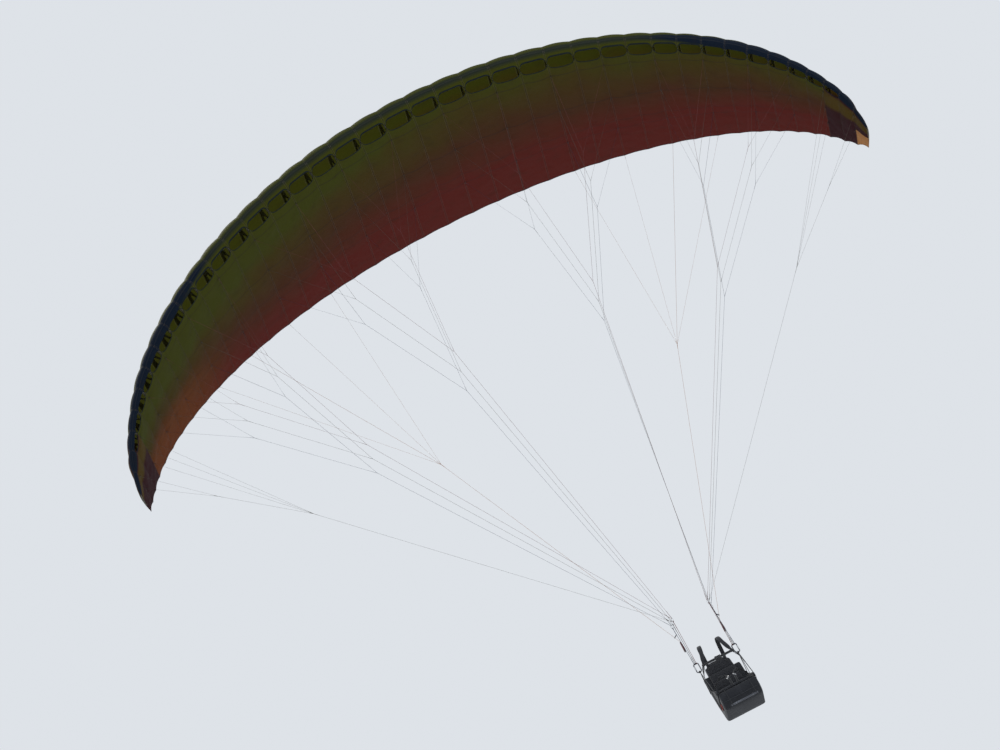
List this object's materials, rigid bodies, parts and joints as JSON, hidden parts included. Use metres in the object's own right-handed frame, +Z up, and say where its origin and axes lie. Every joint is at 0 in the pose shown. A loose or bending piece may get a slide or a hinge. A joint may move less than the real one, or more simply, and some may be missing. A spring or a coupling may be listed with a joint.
{
  "type": "paraglider",
  "caption": "Open-cell arched paraglider wing with rigging, risers, working brakes and an empty seat harness, in flying attitude.",
  "frame": {"origin": "point in the air on the wing's root chord line, straight above the two harness hang points", "axes": "+Z up, the wing flies towards -Y, +X to the pilot's left along the span"},
  "size_m": [9.2456, 2.7, 8.2777],
  "materials": {
    "cloth_front": "matte",
    "cloth_tip": "matte",
    "cloth_rear": "matte",
    "line": "matte",
    "brake_line": "matte",
    "webbing": "matte",
    "steel": "satin",
    "alloy": "satin",
    "harness_cloth": "matte",
    "padding": "matte",
    "handle": "matte",
    "plastic": "matte"
  },
  "bodies": {
    "wing": {"canopy_centre": "cloth_front", "canopy_inner_left": "cloth_front", "canopy_inner_right": "cloth_front", "canopy_middle_left": "cloth_front", "canopy_middle_right": "cloth_front", "canopy_outer_left": "cloth_front", "canopy_outer_right": "cloth_front", "canopy_tip_left": "cloth_tip", "canopy_tip_right": "cloth_tip", "line_a1_left": "line", "line_a1_right": "line", "line_a2_left": "line", "line_a2_right": "line", "line_b1_left": "line", "line_b1_right": "line", "line_b2_left": "line", "line_b2_right": "line", "line_c1_left": "line", "line_c1_right": "line", "line_c2_left": "line", "line_c2_right": "line", "riser_a_left": "webbing", "riser_a_right": "webbing", "riser_b_left": "webbing", "riser_b_right": "webbing", "riser_c_left": "webbing", "riser_c_right": "webbing", "maillon_a_left": "steel", "maillon_a_right": "steel", "maillon_b_left": "steel", "maillon_b_right": "steel", "maillon_c_left": "steel", "maillon_c_right": "steel", "brake_guide_left": "plastic", "brake_guide_right": "plastic", "carabiner_left": "alloy", "carabiner_right": "alloy"},
    "flap_left": {"trailing_flap_left": "cloth_rear"},
    "flap_right": {"trailing_flap_right": "cloth_rear"},
    "brake_left": {"brake_line_left": "brake_line", "brake_toggle_left": "webbing"},
    "brake_right": {"brake_line_right": "brake_line", "brake_toggle_right": "webbing"},
    "harness": {"seat_cushion": "padding", "back_cushion": "padding", "back_protector": "harness_cloth", "rear_pocket": "harness_cloth", "hip_panel_left": "harness_cloth", "hip_panel_right": "harness_cloth", "hang_webbing_left": "webbing", "hang_webbing_right": "webbing", "shoulder_strap_left": "webbing", "shoulder_strap_right": "webbing", "leg_strap_left": "webbing", "leg_strap_right": "webbing", "chest_strap": "webbing", "reserve_handle": "handle", "speed_bar": "plastic"}
  },
  "joints": [
    {"name": "flap_left_bend", "type": "hinge", "parent": "wing", "child": "flap_left", "pos_m": [1.29967, 1.08125, -0.16612], "axis": [-0.9535, -0.0041, 0.3015], "range_deg": [0, 22], "stiffness_Nm_per_rad": 8, "springref_deg": -20.05},
    {"name": "brake_left_pull", "type": "slide", "parent": "wing", "child": "brake_left", "axis": [-0.3206, -0.2268, -0.9197], "range_m": [0, 0.255]},
    {"name": "flap_right_bend", "type": "hinge", "parent": "wing", "child": "flap_right", "pos_m": [-1.29967, 1.08125, -0.16612], "axis": [-0.9535, 0.0041, -0.3015], "range_deg": [0, 22], "stiffness_Nm_per_rad": 8, "springref_deg": -20.05},
    {"name": "brake_right_pull", "type": "slide", "parent": "wing", "child": "brake_right", "axis": [0.3206, -0.2268, -0.9197], "range_m": [0, 0.255]},
    {"name": "harness_pitch", "type": "hinge", "parent": "wing", "child": "harness", "pos_m": [0, 0, -7.3], "axis": [-1, 0, 0], "range_deg": [-14, 22]}
  ],
  "couplings": [
    {"joint": "brake_left_pull", "follows": "flap_left_bend", "m_per_rad": 0.655},
    {"joint": "brake_right_pull", "follows": "flap_right_bend", "m_per_rad": 0.655}
  ]
}
